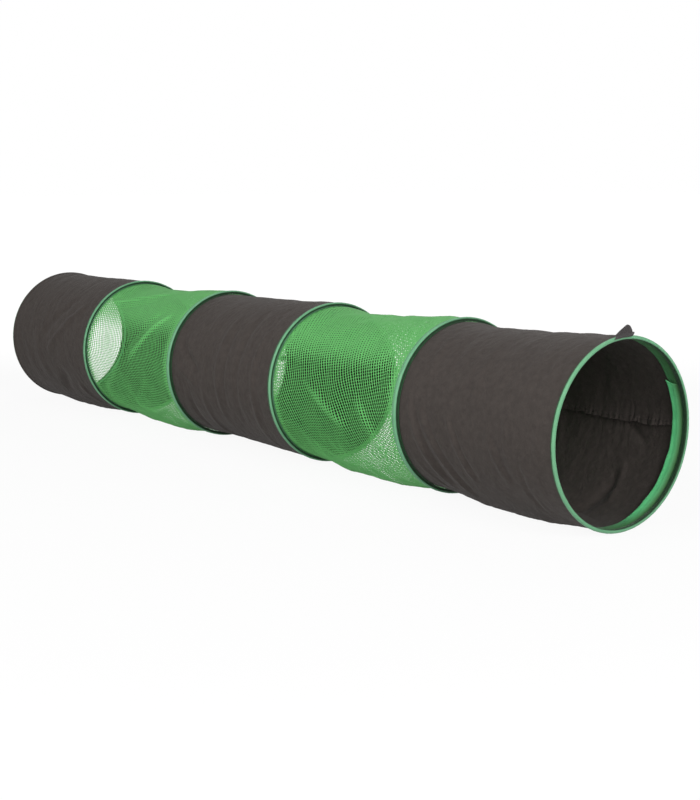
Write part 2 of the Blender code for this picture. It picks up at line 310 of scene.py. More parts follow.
def fabric_radius(index, behind, angle):
    """Radius of a section's fabric at a distance behind its front hoop."""
    name, kind = SECTIONS[index]
    # The tube narrows from one hoop to the next, and is drawn in at a waist between them
    start = 8.0 * MM
    end = PITCH - (8.0 if index == LAST_SECTION else 9.0) * MM
    share = np.clip((behind - start) / (end - start), 0.0, 1.0)
    rear = WIDE if index == LAST_SECTION else NARROW
    up = np.sin(angle)
    top, side, bottom = DRAWN[name]
    drawn = side + (top - side) * np.clip(up, 0, 1) ** 2 + (bottom - side) * np.clip(-up, 0, 1) ** 2
    waist = smooth(0.0, 0.62, share) * (1 - smooth(0.84, 1.0, share))
    radius = WIDE + (rear - WIDE) * share - drawn * MM * waist
    sag = np.minimum(1.0, 1.6 * np.sin(math.pi * share) ** 2)
    radius = radius + BELLY[name] * MM * sag * np.clip(-up, 0.0, 1.0) ** 6
    # Folds and creases, which die out at the hoops
    relief = cloth_relief if kind == "cloth" else net_relief
    height = folds_height(name, behind, angle) + relief(index, behind, angle)
    radius = radius + height * smooth(0.0, 0.09, share) * (1 - smooth(0.93, 1.0, share))
    # Puckers close to the hoops
    pucker = waves(index * 7 + 4, 0.0, angle, 1.0, 0.010)
    close = np.exp(-behind / (9 * MM)) + np.exp(-(PITCH - behind) / (9 * MM))
    inside = smooth(6 * MM, 12 * MM, behind) * (1 - smooth(PITCH - 12 * MM, PITCH - 6 * MM, behind))
    radius = radius + 0.9 * MM * pucker * close * inside
    if index == LAST_SECTION:
        # The last section rises over the roll of the rear mouth
        radius = radius + 2.15 * MM * smooth(PITCH - 9 * MM, PITCH - 2.5 * MM, behind)
    return radius


def ledge_radius(index, behind):
    """Radius of a section's fabric on the ledge that its lengthwise seam makes."""
    return fabric_radius(index, behind, (seam_line(index, behind) + 1.0 * MM) / CREST_LINE)


def outward(angle):
    """Unit vectors that point away from the tunnel's axis."""
    return np.stack([np.zeros_like(angle), np.cos(angle), np.sin(angle)], axis=-1)


def tube_points(x, radius, angle, lowest=0.0):
    """Points round the tunnel's axis, kept at least this high above the floor."""
    z = np.maximum(radius * np.sin(angle), lowest - AXIS_Z) + AXIS_Z
    return np.stack([np.broadcast_to(x, z.shape), radius * np.cos(angle), z], axis=-1)


def fabric_points(index, behind, angle, off=0.0):
    """Points on a section's fabric, or at a distance off from it."""
    radius = fabric_radius(index, behind, angle) + off
    return tube_points(HOOP_X[index] - behind, radius, angle, lowest=0.6 * MM + off * 0.3)


# Making objects


def mesh_object(name, points, faces, finish):
    """One object. Its faces come as arrays with a row of corners for each face."""
    mesh = bpy.data.meshes.new(name)
    points = np.asarray(points, np.float32).reshape(-1, 3)
    mesh.vertices.add(len(points))
    mesh.vertices.foreach_set("co", points.ravel())
    faces = [np.asarray(part, np.int32) for part in faces]
    corners = np.concatenate([part.ravel() for part in faces])
    counts = np.concatenate([np.full(len(part), part.shape[1]) for part in faces])
    mesh.loops.add(len(corners))
    mesh.loops.foreach_set("vertex_index", corners)
    mesh.polygons.add(len(counts))
    mesh.polygons.foreach_set("loop_start", np.concatenate([[0], np.cumsum(counts)[:-1]]))
    mesh.update(calc_edges=True)
    mesh.validate()
    mesh.shade_smooth()
    mesh.materials.append(finish)
    made = bpy.data.objects.new(name, mesh)
    bpy.context.collection.objects.link(made)
    return made


def grid_faces(rows, columns, closed_rows=False, closed_columns=False, start=0):
    """Quads over a grid of points, kept row by row."""
    i = np.arange(rows if closed_rows else rows - 1)[:, None]
    j = np.arange(columns if closed_columns else columns - 1)[None, :]
    after_i = (i + 1) % rows
    after_j = (j + 1) % columns
    quads = [
        i * columns + j,
        i * columns + after_j,
        after_i * columns + after_j,
        after_i * columns + j,
    ]
    shape = (i.size, j.size)
    return np.stack([np.broadcast_to(quad, shape) for quad in quads], axis=-1).reshape(-1, 4) + start


def slab_faces(rows, columns):
    """Faces of a thin sheet of two grids of points, one after the other, with its four edges."""
    count = rows * columns
    i = np.arange(rows - 1) * columns
    j = np.arange(columns - 1)
    side = np.stack([i, i + columns, i + columns + count, i + count], axis=-1)
    end = np.stack([j, j + 1, j + 1 + count, j + count], axis=-1)
    return [
        grid_faces(rows, columns),
        grid_faces(rows, columns, start=count)[:, ::-1],
        side,
        side[:, ::-1] + columns - 1,
        end[:, ::-1],
        end + (rows - 1) * columns,
    ]


def set_shade(piece, values):
    """How much of its finish's painted shade each point of a piece has."""
    values = np.clip(values, 0.0, 1.0).astype(np.float32)
    piece.data.attributes.new("shade", "FLOAT", "POINT").data.foreach_set("value", values)


# Making finishes


def new_finish(name):
    """A new material, its nodes and its shader."""
    finish = bpy.data.materials.new(name)
    finish.use_nodes = True
    tree = finish.node_tree
    return finish, tree, tree.nodes["Principled BSDF"]


def set_values(node, values):
    """Set plain values on a node's own sockets."""
    for name, value in values.items():
        node.inputs[name].default_value = value


def add(tree, kind, **values):
    """A node with some of its values set."""
    node = tree.nodes.new(kind)
    for name, value in values.items():
        if name in node.inputs:
            node.inputs[name].default_value = value
        else:
            setattr(node, name, value)
    return node


def feed(tree, socket, value):
    """Link a socket into another one, or set a number there."""
    if isinstance(value, bpy.types.NodeSocket):
        tree.links.new(value, socket)
    else:
        socket.default_value = value


def maths(tree, operation, first, second=None):
    """A maths node on sockets or numbers, and its output."""
    node = add(tree, "ShaderNodeMath", operation=operation)
    feed(tree, node.inputs[0], first)
    if second is not None:
        feed(tree, node.inputs[1], second)
    return node.outputs[0]


def noise(tree, place, **values):
    """Noise of about 0 to 1 over places."""
    node = add(tree, "ShaderNodeTexNoise", **values)
    tree.links.new(place, node.inputs["Vector"])
    return node.outputs["Fac"]


def map_range(tree, value, low, high, to_low=0.0, to_high=1.0):
    """A socket's value brought from one range to another."""
    node = add(tree, "ShaderNodeMapRange")
    set_values(node, {"From Min": low, "From Max": high, "To Min": to_low, "To Max": to_high})
    tree.links.new(value, node.inputs["Value"])
    return node.outputs["Result"]


def mix_colours(tree, share, first, second):
    """A mix of two colours by a socket."""
    node = add(tree, "ShaderNodeMix", data_type="RGBA")
    tree.links.new(share, node.inputs["Factor"])
    feed(tree, node.inputs[6], first)
    feed(tree, node.inputs[7], second)
    return node.outputs[2]


def mix_shaders(tree, share, first, second, target):
    """Give a material or the world a mix of two shaders."""
    node = add(tree, "ShaderNodeMixShader")
    feed(tree, node.inputs[0], share)
    tree.links.new(first.outputs[0], node.inputs[1])
    tree.links.new(second.outputs[0], node.inputs[2])
    tree.links.new(node.outputs[0], tree.nodes[target].inputs["Surface"])


def round_coordinates(tree):
    """The object's own place, and from it the distances along the tunnel and round its fabric."""
    place = add(tree, "ShaderNodeTexCoord").outputs["Object"]
    split = add(tree, "ShaderNodeSeparateXYZ")
    tree.links.new(place, split.inputs[0])
    height = maths(tree, "SUBTRACT", split.outputs["Z"], AXIS_Z)
    angle = maths(tree, "ARCTAN2", height, split.outputs["Y"])
    return place, split.outputs["X"], maths(tree, "MULTIPLY", angle, FABRIC_LINE)


def weave_height(tree, x, around, thread_x, thread_around):
    """Height of a plain weave whose threads have these widths."""
    first = maths(tree, "SINE", maths(tree, "MULTIPLY", x, math.pi / thread_x))
    second = maths(tree, "SINE", maths(tree, "MULTIPLY", around, math.pi / thread_around))
    return maths(tree, "MULTIPLY", first, second)


def raise_surface(tree, shader, relief, strength, distance):
    """Let a height from 0 to 1 show as relief of this distance."""
    lift = add(tree, "ShaderNodeBump", Strength=strength, Distance=distance)
    tree.links.new(relief, lift.inputs["Height"])
    tree.links.new(lift.outputs["Normal"], shader.inputs["Normal"])


def fabric_finish(
        name, dark, light, thread, bump, roughness, sheen, mottle=38.0, specular=0.3, shade=None):
    """Woven fabric: two close colours in soft patches, a weave and creases in relief, a little sheen.

    With a shade colour, the points' own "shade" value mixes it in: painted shade, darkening the colour as
    shadow would.
    """
    finish, tree, shader = new_finish(name)
    place, x, around = round_coordinates(tree)
    patches = noise(tree, place, Scale=mottle, Detail=5.0, Roughness=0.62)
    grain = noise(tree, place, Scale=900.0, Detail=2.0)
    creases = noise(tree, place, Scale=130.0, Detail=4.0, Roughness=0.6)
    soft = maths(tree, "MULTIPLY", patches, 0.65)
    fine = maths(tree, "MULTIPLY", grain, 0.35)
    share = map_range(tree, maths(tree, "ADD", soft, fine), 0.36, 0.64)
    colour = mix_colours(tree, share, (*dark, 1.0), (*light, 1.0))
    if shade is not None:
        # Painted shade: the points' "shade" value darkens the colour towards the shade colour, as shadow
        # would
        painted_shade = add(tree, "ShaderNodeAttribute", attribute_name="shade")
        colour = mix_colours(tree, painted_shade.outputs["Fac"], colour, (*shade, 1.0))
    tree.links.new(colour, shader.inputs["Base Color"])
    weave = weave_height(tree, x, around, thread, thread)
    relief = maths(tree, "ADD", maths(tree, "MULTIPLY", weave, 0.5), grain)
    relief = maths(tree, "ADD", relief, maths(tree, "MULTIPLY", creases, 5.0))
    raise_surface(tree, shader, relief, strength=bump, distance=0.0004)
    set_values(shader, {
        "Roughness": roughness,
        "Sheen Weight": sheen,
        "Sheen Roughness": 0.45,
        "Specular IOR Level": specular,
    })
    return finish


def net_finish(name, dark, light):
    """Knitted polyester net: bright green yarn that lets some light through."""
    finish, tree, shader = new_finish(name)
    place, x, around = round_coordinates(tree)
    patches = noise(tree, place, Scale=60.0, Detail=3.0)
    yarn = noise(tree, place, Scale=1400.0, Detail=1.0)
    share = maths(tree, "MULTIPLY", maths(tree, "ADD", patches, yarn), 0.5)
    colour = mix_colours(tree, share, (*dark, 1.0), (*light, 1.0))
    tree.links.new(colour, shader.inputs["Base Color"])
    knit = weave_height(tree, x, around, 0.0009, 0.0007)
    raise_surface(tree, shader, maths(tree, "ADD", knit, yarn), strength=0.5, distance=0.0003)
    set_values(shader, {"Roughness": 0.5, "Specular IOR Level": 0.2})
    through = add(tree, "ShaderNodeBsdfTranslucent")
    tree.links.new(colour, through.inputs["Color"])
    mix_shaders(tree, 0.22, shader, through, "Material Output")
    return finish


def plain_finish(name, colour, darkest, grain, detail, values):
    """One colour with a fine grain that is this much darker: thread, or metal."""
    finish, tree, shader = new_finish(name)
    place = add(tree, "ShaderNodeTexCoord").outputs["Object"]
    share = noise(tree, place, Scale=grain, Detail=detail)
    darker = tuple(darkest * value for value in colour)
    mixed = mix_colours(tree, share, (*darker, 1.0), (*colour, 1.0))
    tree.links.new(mixed, shader.inputs["Base Color"])
    set_values(shader, values)
    return finish


def thread_finish(name, colour):
    """Sewing thread: a fine twist and a soft shine."""
    return plain_finish(name, colour, 0.6, 2600.0, 1.0, {"Roughness": 0.6, "Specular IOR Level": 0.25})


def metal_finish(name, colour, roughness):
    """Drawn or crimped metal with fine scratches."""
    return plain_finish(name, colour, 0.75, 700.0, 3.0, {"Metallic": 1.0, "Roughness": roughness})


BLACK_CLOTH = fabric_finish(
    "black_cloth", (0.0415, 0.0345, 0.0310), (0.0580, 0.0485, 0.0435),
    thread=0.0011, bump=0.60, roughness=0.85, sheen=0.05, mottle=90.0, specular=0.15)
# The tape's own green; its shade colour is painted shade for the grooves by its stitched edges and the
# roll's side turned from the light
GREEN_TAPE = fabric_finish(
    "green_tape", (0.115, 0.325, 0.170), (0.155, 0.385, 0.212),
    thread=0.0009, bump=0.45, roughness=0.62, sheen=0.12, shade=(0.009, 0.044, 0.014))
# A darker copy of the tape's green, as its grooves look in shadow: painted shade; it colours the nets'
# seam flaps
SHADED_GREEN = fabric_finish(
    "shaded_green", (0.030, 0.120, 0.040), (0.055, 0.190, 0.065),
    thread=0.0009, bump=0.6, roughness=0.75, sheen=0.05)
# The hem is the tape's own inner leg, but its green is a lighter copy of the tape's: painted light; its
# shade colour is painted shade for where it lies in shadow
HEM_GREEN_LIT_AND_SHADED = fabric_finish(
    "hem_green_lit_and_shaded", (0.115, 0.610, 0.235), (0.155, 0.710, 0.290),
    thread=0.0009, bump=0.45, roughness=0.65, sheen=0.08, shade=(0.030, 0.085, 0.022))
BLACK_RIBBON = fabric_finish(
    "black_ribbon", (0.022, 0.019, 0.019), (0.048, 0.041, 0.041),
    thread=0.0013, bump=0.9, roughness=0.55, sheen=0.15)
GREEN_NET = net_finish("green_net", (0.112, 0.435, 0.124), (0.205, 0.640, 0.200))
GREEN_THREAD = thread_finish("green_thread", (0.045, 0.210, 0.075))
BLACK_THREAD = thread_finish("black_thread", (0.030, 0.027, 0.026))
SPRING_STEEL = metal_finish("spring_steel", (0.42, 0.42, 0.43), 0.35)
CRIMPED_ZINC = metal_finish("crimped_zinc", (0.55, 0.56, 0.58), 0.42)


# Fabric sections


def binding_name(hoop):
    """Name of the tape's piece at a hoop."""
    return f"hoop_{hoop + 1}_tape"


def settle(piece, index):
    """Let a piece ride on its section's front hoop."""
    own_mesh(piece)
    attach(piece, f"hoop_{index + 1}")


def hang_fabric(index, piece, rim):
    """Hang a section's fabric between its hoops: the main part on the front hoop, and the rim on the rear
    hoop.
    """
    name, kind = SECTIONS[index]
    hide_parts(name)
    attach(rim, f"hoop_{index + 2}")
    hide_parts(name)
    settle(piece, index)


def make_cloth(index):
    """A black cloth tube with its folds, creases and puckers."""
    name = SECTIONS[index][0]
    start, end = section_span(index)
    columns = 420
    angle = np.linspace(0, TURN, columns, endpoint=False)[None, :]
    # Closer together round the +Y side, where the seam's ledge is
    angle = angle - 0.35 * np.sin(angle)

    def part(part_name, first, last, rows):
        """The part of the tube between two distances behind its front hoop."""
        points = fabric_points(index, np.linspace(first, last, rows)[:, None], angle)
        faces = grid_faces(rows, columns, closed_columns=True)
        return mesh_object(part_name, points, [faces], BLACK_CLOTH)

    rim = part(name + "_rim", PITCH - RIM, end, 6)
    piece = part(name + "_fabric", start, PITCH - RIM, 160)
    hang_fabric(index, piece, rim)


def stretch(index, behind, angle):
    """Where a mesh of the net comes to lie: the knit leans and sways a little."""
    free = smooth(0.0, 30 * MM, behind) * (1 - smooth(PITCH - 30 * MM, PITCH, behind))
    along = 4.5 * MM * waves(index * 7 + 5, behind, angle, 0.34, 0.30) * free
    around = 3.0 * MM * waves(index * 7 + 6, behind, angle, 0.25, 0.34) * free
    return behind + along, angle + around / FABRIC_LINE


def hole_share(index, from_start, angle):
    """Size of a net's holes as a share of their full size: less where the knit is drawn together."""
    start, end = section_span(index)
    from_end = end - start - from_start
    up = np.sin(angle)
    # Close to the hoops, at the top and at the bottom
    share = 0.45 + 0.55 * smooth(4 * MM, 26 * MM, np.minimum(from_start, from_end))
    share = share * (1 - 0.54 * smooth(0.32, 0.74, up) - 0.30 * smooth(0.55, 0.95, -up))
    # Along the ridge of a fold
    ridge = folds_height(SECTIONS[index][0], start + from_start, angle) / MM
    return share * np.clip(1 - 0.10 * ridge, 0.5, 1.0)


def make_net(index):
    """A net tube: slanting rows and columns of rounded holes between raised strands."""
    name = SECTIONS[index][0]
    start, end = section_span(index)
    pitch = (end - start) / HOLES_ALONG
    # A column of holes that runs once round the tunnel ends this many columns further
    climb = round(COLUMN_SLANT * TURN * FABRIC_LINE / pitch)
    rows = HOLES_ROUND
    columns = HOLES_ALONG + climb + 3

    def spread(grid):
        """Distance from the fabric's start and angle of places given in columns and rows."""
        from_start = (grid[..., 0] - 1 - climb * grid[..., 1] / rows) * pitch
        return from_start, grid[..., 1] * TURN / rows + ROW_SLANT * from_start / FABRIC_LINE

    def number(first, column, row):
        """Index of a point of a row, where the row after the last is the first one."""
        last = row == rows
        column = np.maximum(np.where(last, column - climb, column), 0)
        return first + column * rows + np.where(last, 0, row)

    # Points at the strands' crossings, and halfway between them along the tunnel and round it
    crossing = np.stack(np.meshgrid(np.arange(columns), np.arange(rows), indexing="ij"), axis=-1)
    along = crossing + np.array([0.5, 0.0])
    around = crossing + np.array([0.0, 0.5])
    column = np.arange(columns - 1)[:, None]
    row = np.arange(rows)[None, :]
    first_along = columns * rows
    first_around = 2 * columns * rows
    first_rim = 3 * columns * rows
    cell = [
        number(0, column + 1, row + 1),
        number(first_along, column, row + 1),
        number(0, column, row + 1),
        number(first_around, column, row),
        number(0, column, row),
        number(first_along, column, row),
        number(0, column + 1, row),
        number(first_around, column + 1, row),
    ]
    shape = (columns - 1, rows)
    cell = np.stack([np.broadcast_to(corner, shape) for corner in cell], axis=-1)
    # Each hole has eight corners, which face the eight points round its cell
    near = HOLE_CORNER
    reach = np.array([
        (near, near), (0, 1), (-near, near), (-1, 0), (-near, -near), (0, -1), (near, -near), (1, 0)])
    reach = reach * np.array([HOLE_HALF_LENGTH, HOLE_HALF_HEIGHT])
    middle = crossing[:-1] + np.array([0.5, 0.5])
    size = hole_share(index, *spread(middle))
    rng = np.random.default_rng(100 + index)
    ragged = np.minimum(size[..., None, None] * (1 + 0.05 * rng.normal(size=(*shape, 8, 1))), 1.0)
    rims = middle[:, :, None, :] + reach * ragged
    rim_number = first_rim + np.arange(shape[0] * rows * 8).reshape(*shape, 8)
    after = np.roll(np.arange(8), -1)
    faces = np.stack([cell, cell[..., after], rim_number[..., after], rim_number], axis=-1)
    faces = faces.reshape(-1, 4)
    places = np.concatenate([group.reshape(-1, 2) for group in (crossing, along, around, rims)])
    from_start, angle = spread(places)
    inside = (from_start > 0) & (from_start < end - start)
    faces = faces[inside[faces].any(axis=1)]
    behind, angle = stretch(index, start + np.clip(from_start, 0, end - start), angle)
    # Strands round the tunnel stand highest, and the holes' rims sink
    relief = np.full(len(behind), -STRAND_RELIEF)
    relief[:first_along] = STRAND_RELIEF
    relief[first_along:first_around] = 0.4 * STRAND_RELIEF
    relief[first_around:first_rim] = 0.9 * STRAND_RELIEF

    def part(part_name, first, last):
        """The part of the net between two distances behind its front hoop, cut where it ends."""
        between = (behind > first) & (behind < last)
        kept = faces[between[faces].any(axis=1)]
        used = np.unique(kept)
        renumber = np.zeros(len(behind), np.int64)
        renumber[used] = np.arange(len(used))
        cut = np.clip(behind[used], first, last)
        points = fabric_points(index, cut, angle[used], off=relief[used])
        return mesh_object(part_name, points, [renumber[kept]], GREEN_NET)

    rim = part(name + "_rim", PITCH - RIM, end)
    piece = part(name + "_fabric", start, PITCH - RIM)
    hang_fabric(index, piece, rim)


# Stitches and lengthwise seams


def stitch_mesh(name, places, ways, outs, thick, finish):
    """Short rounded stitches, each at a place, lying along its way and standing out a little."""
    sides = np.cross(ways, outs)
    # Rings of a stitch: place as a share of its length, and width as a share of its thickness
    rings = ((-0.5, 0.35), (-0.3, 0.9), (0.0, 1.05), (0.3, 0.9), (0.5, 0.35))
    corners = 6
    points = []
    for share, fat in rings:
        for turn in np.arange(corners) * TURN / corners:
            sideways = thick * fat * math.cos(turn)
            # Both ends dip into the fabric
            out = thick * 0.8 * fat * math.sin(turn) - thick * 1.6 * abs(share)
            points.append(places + ways * share * STITCH + sides * sideways + outs * out)
    points = np.stack(points, axis=1)
    near_caps = np.array([[0, 1, 2, 3], [0, 3, 4, 5]])
    far_caps = np.array([[3, 2, 1, 0], [5, 4, 3, 0]]) + (len(rings) - 1) * corners
    one = np.concatenate([grid_faces(len(rings), corners, closed_columns=True), near_caps, far_caps])
    first = len(rings) * corners * np.arange(len(places))
    faces = (one[None, :, :] + first[:, None, None]).reshape(-1, 4)
    return mesh_object(name, points, [faces], finish)


def seam_span(index):
    """Distances behind its front hoop where a section's lengthwise seam shows."""
    start, end = section_span(index)
    return start + 6 * MM, end - 8 * MM


def make_seam_flap(index):
    """The lengthwise seam on the +Y side: its allowance hangs inside the tube as a puckered flap."""
    name, kind = SECTIONS[index]
    rows = 260
    columns = 9
    behind = np.linspace(*seam_span(index), rows)[:, None]
    share = np.linspace(0.0, 1.0, columns)[None, :]
    width = (10.0 + 1.1 * waves(310 + index, behind, 0.0, 0.020, 1.0)) * MM
    angle = (seam_line(index, behind) + 3.0 * MM - share * width) / CREST_LINE
    flutter = waves(320 + index, behind, 0.4 * share, 0.016, 0.3)
    lift = 0.25 * MM + share**1.5 * (1.9 + 0.9 * flutter) * MM
    # The flap hangs from the ledge, so its radius is measured there and not on the cloth behind it
    face = fabric_radius(index, behind, angle)
    hang = np.minimum(face, ledge_radius(index, behind)) - lift
    sheets = []
    for off in (0.0, 0.7 * MM):
        radius = np.minimum(hang + off, face - 0.1 * MM)
        sheets.append(tube_points(HOOP_X[index] - behind, radius, angle))
    # A net's seam flap gets the darker green, which is painted shade
    finish = BLACK_CLOTH if kind == "cloth" else SHADED_GREEN
    piece = mesh_object(name + "_seam", np.stack(sheets), slab_faces(rows, columns), finish)
    settle(piece, index)


def make_seam_stitches(index):
    """The row of stitches along a lengthwise seam, inside the tube."""
    name, kind = SECTIONS[index]
    start, end = seam_span(index)
    behind = np.arange(start + 3 * MM, end - 3 * MM, SEAM_SPACING)
    angle = (seam_line(index, behind) + 0.2 * MM) / CREST_LINE
    radius = np.minimum(ledge_radius(index, behind), fabric_radius(index, behind, angle)) - 0.6 * MM
    places = tube_points(HOOP_X[index] - behind, radius, angle)
    ways = np.tile([1.0, 0.0, 0.0], (len(behind), 1))
    finish = BLACK_THREAD if kind == "cloth" else GREEN_THREAD
    piece = stitch_mesh(name + "_seam_stitches", places, ways, -outward(angle), 0.32 * MM, finish)
    settle(piece, index)


def hang_section(index):
    """The fabric of one section, with its lengthwise seam."""
    if SECTIONS[index][1] == "cloth":
        make_cloth(index)
    else:
        make_net(index)
    make_seam_flap(index)
    make_seam_stitches(index)


def make_ring_stitches(hoop):
    """The rows of stitches that hold a hoop's tape."""
    # Each row is (distance behind the hoop, radius, 1 to stand outwards or -1 inwards)
    if hoop == 0:
        lines = [(6.4 * MM, 145.55 * MM, -1.0), (3.6 * MM, 148.5 * MM, 1.0)]
    elif hoop == LAST_HOOP:
        lines = [(-6.4 * MM, 145.55 * MM, -1.0)]
    else:
        lines = [(5.2 * MM, 148.6 * MM, 1.0), (-4.0 * MM, 143.15 * MM, 1.0)]
    places = []
    ways = []
    outs = []
    for behind, radius, sign in lines:
        count = int(TURN * radius / RING_SPACING)
        angle = (np.arange(count) + 0.5) * TURN / count
        places.append(tube_points(HOOP_X[hoop] - behind, radius, angle))
        ways.append(outward(angle + TURN / 4))
        outs.append(outward(angle) * sign)
    rows = [np.concatenate(group) for group in (places, ways, outs)]
    piece = stitch_mesh(f"hoop_{hoop + 1}_stitches", *rows, 0.34 * MM, GREEN_THREAD)
    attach(piece, f"hoop_{hoop + 1}")


# Tape round the hoops


def roll_arc(first, last, count, dark_from, dark_to, dark_back=None):
    """Corners on the tape's roll between two angles in degrees: (axial, radial, painted shade).

    Going down, the roll gets painted shade from one angle to the next, for its side turned from the light
    and the groove by it, and is light again round -180 degrees. With dark_back it has painted shade above
    that angle too.
    """
    corners = []
    for turn in np.linspace(first, last, count):
        # Painted shade: darker colour where the roll turns from the light and meets its stitched edges
        shade = (1 - smooth(dark_to, dark_from, turn)) * smooth(-195, -165, turn)
        if dark_back is not None:
            shade = max(shade, smooth(dark_back, dark_back + 22, turn))
        way = math.radians(turn)
        corners.append((ROLL * math.cos(way), ROLL_LINE + ROLL * math.sin(way), float(shade)))
    return corners


def edge(corners, shade=1.0):
    """Corners of a stitched edge of the tape, from (axial, radial) in millimetres, with one painted shade
    for the groove it lies in.
    """
    return [(axial * MM, radial * MM, shade) for axial, radial in corners]


def tape_joint(axial, radial, angle):
    """The tape's cut end on the +Y side stands up by its own thickness and sinks back beyond it."""
    off = np.hypot(axial, radial - ROLL_LINE)
    on_roll = np.exp(-(((off - ROLL) / (1.2 * MM)) ** 2))
    turn = signed(angle)
    sinking = np.where(turn > 0, 0.0, np.exp(turn / math.radians(5)))
    step = sinking * smooth(-0.0008, 0.0008, -turn)
    lift = 1 + 0.09 * step * on_roll
    ripple = 0.10 * MM * waves(77, 0.0, angle, 1.0, 0.012) * on_roll
    grow = (off * lift + ripple) / np.maximum(off, 1e-6)
    return axial * grow, ROLL_LINE + (radial - ROLL_LINE) * grow


def make_tape(hoop, profile, facing, node):
    """Tape turned round the tunnel's axis at a hoop, from the corners of its closed outline."""
    steps = 360
    outline = np.array(profile[::-1])
    angle = np.linspace(0, TURN, steps, endpoint=False)[None, :]
    axial, radial = tape_joint(outline[:, 0:1], outline[:, 1:2], angle)
    points = tube_points(HOOP_X[hoop] + facing * axial, radial, angle)
    faces = grid_faces(len(outline), steps, closed_rows=True, closed_columns=True)
    if facing > 0:
        faces = faces[:, ::-1]
    piece = mesh_object(binding_name(hoop), points, [faces], GREEN_TAPE)
    # Each outline corner's painted shade runs round the tunnel
    set_shade(piece, np.repeat(outline[:, 2], steps))
    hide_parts(node)
    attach(piece, f"hoop_{hoop + 1}")


def make_mouth_tape(hoop, facing, node):
    """Tape of a mouth hoop: the roll, and its stitched edges outside and inside the cloth."""
    # Painted shade on the stitched edges and the roll's inner side, and on the front roll's outer side
    # above 90 degrees
    if facing > 0:
        outline = edge([(-2.4, 148.2), (-4.0, 148.25), (-4.2, 148.45), (-4.0, 148.65), (-3.1, 148.3)])
        outline += roll_arc(150, -128, 42, -22, -55, dark_back=90)
    else:
        outline = roll_arc(165, -128, 44, -22, -55)
    outline += edge([
        (-3.2, 144.9), (-4.6, 145.4), (-8.6, 145.9), (-9.0, 146.2), (-8.6, 146.6), (-2.9, 146.9)])
    make_tape(hoop, outline, facing, node)


def make_seam_tape(hoop):
    """Tape of a hoop between two sections: an edge over the one behind, an edge over the one in front."""
    # Painted shade on the stitched edges: full where they lie over cloth; over net, none behind and half
    # in front
    behind_shade = 0.0 if SECTIONS[hoop][1] == "net" else 1.0
    front_shade = 0.5 if SECTIONS[hoop - 1][1] == "net" else 1.0
    outer = [(-2.4, 148.2), (-6.3, 148.3), (-6.5, 148.5), (-6.3, 148.7), (-3.3, 148.3)]
    inner = [
        (2.2, 143.7), (3.2, 143.1), (4.8, 143.2), (5.1, 143.0), (4.8, 142.8), (0.5, 142.8), (-1.5, 143.5)]
    outline = edge(outer, behind_shade) + roll_arc(150, -60, 34, 34, 2)
    outline += edge(inner, front_shade) + roll_arc(-125, -210, 14, 34, 2)
    make_tape(hoop, outline, 1, f"seam_binding_{hoop + 1}")


def make_hem(hoop, facing):
    """The tape's wide inner leg: it lies on the cloth, and beyond its cut end it stands off it."""
    rows = 16
    columns = 400
    share = np.linspace(0.0, 1.0, rows)[:, None]
    down = np.linspace(0.0, HEM_TURN, columns)[None, :]
    angle = np.radians(HEM_CUT - down)
    loose = 1 - smooth(HEM_LOOSE * 0.75, HEM_LOOSE * 1.15, down)
    width = HEM_WIDTH * (1 + 0.02 * waves(40 + hoop, 0.0, angle, 1.0, 0.08))
    # Some of the width is taken up in the stitching at the wire
    behind = HEM_START + share * (width - 1.5 * MM)
    steep = smooth(0.10, 0.50, share)
    ripple = waves(50 + hoop, share * 0.02, angle, 0.05, 0.06)
    lying = 146.6 * MM - 0.9 * MM * steep - 0.5 * MM * share + 0.35 * MM * ripple * share
    standing = 146.6 * MM - 4.0 * MM * steep - 1.9 * MM * share + 0.5 * MM * ripple * share
    # Its other end laps under the cut end
    lap = 0.35 * MM * smooth(HEM_TURN - 14, HEM_TURN - 8, down)
    radius = lying + (standing - lying) * loose + lap
    # Painted shade: the root by the wire and the part lying on the cloth are darkened as if in shadow,
    # the loose part less so towards its free edge
    shade = 1 - smooth(0.12, 0.80, share) * np.clip(loose * 1.15, 0.0, 1.0) - 0.25 * (1 - loose) * share
    # The cut end is a slant: its corner at the free edge is its highest point
    angle = angle - np.radians(4.5) * (1 - share) * (1 - smooth(0.0, 9.0, down))
    x = HOOP_X[hoop] - facing * behind
    sheets = [tube_points(x, radius - off, angle, lowest=2 * MM) for off in (0.0, HEM_THICK)]
    faces = slab_faces(rows, columns)
    if facing < 0:
        faces = [part[:, ::-1] for part in faces]
    piece = mesh_object(f"hoop_{hoop + 1}_hem", np.stack(sheets), faces, HEM_GREEN_LIT_AND_SHADED)
    # The painted shade, at most 0.95, goes onto both sheets
    set_shade(piece, np.tile(np.clip(shade, 0, 1).ravel() * 0.95, 2))
    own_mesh(piece)
    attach(piece, f"hoop_{hoop + 1}")


def dress_hoop(hoop):
    """The tape and stitches of one hoop, and at a mouth its hem."""
    if hoop == 0:
        make_mouth_tape(hoop, 1, "front_binding")
        make_hem(hoop, 1)
    elif hoop == LAST_HOOP:
        make_mouth_tape(hoop, -1, "rear_binding")
        make_hem(hoop, -1)
    else:
        make_seam_tape(hoop)
    make_ring_stitches(hoop)


# Carrying loop


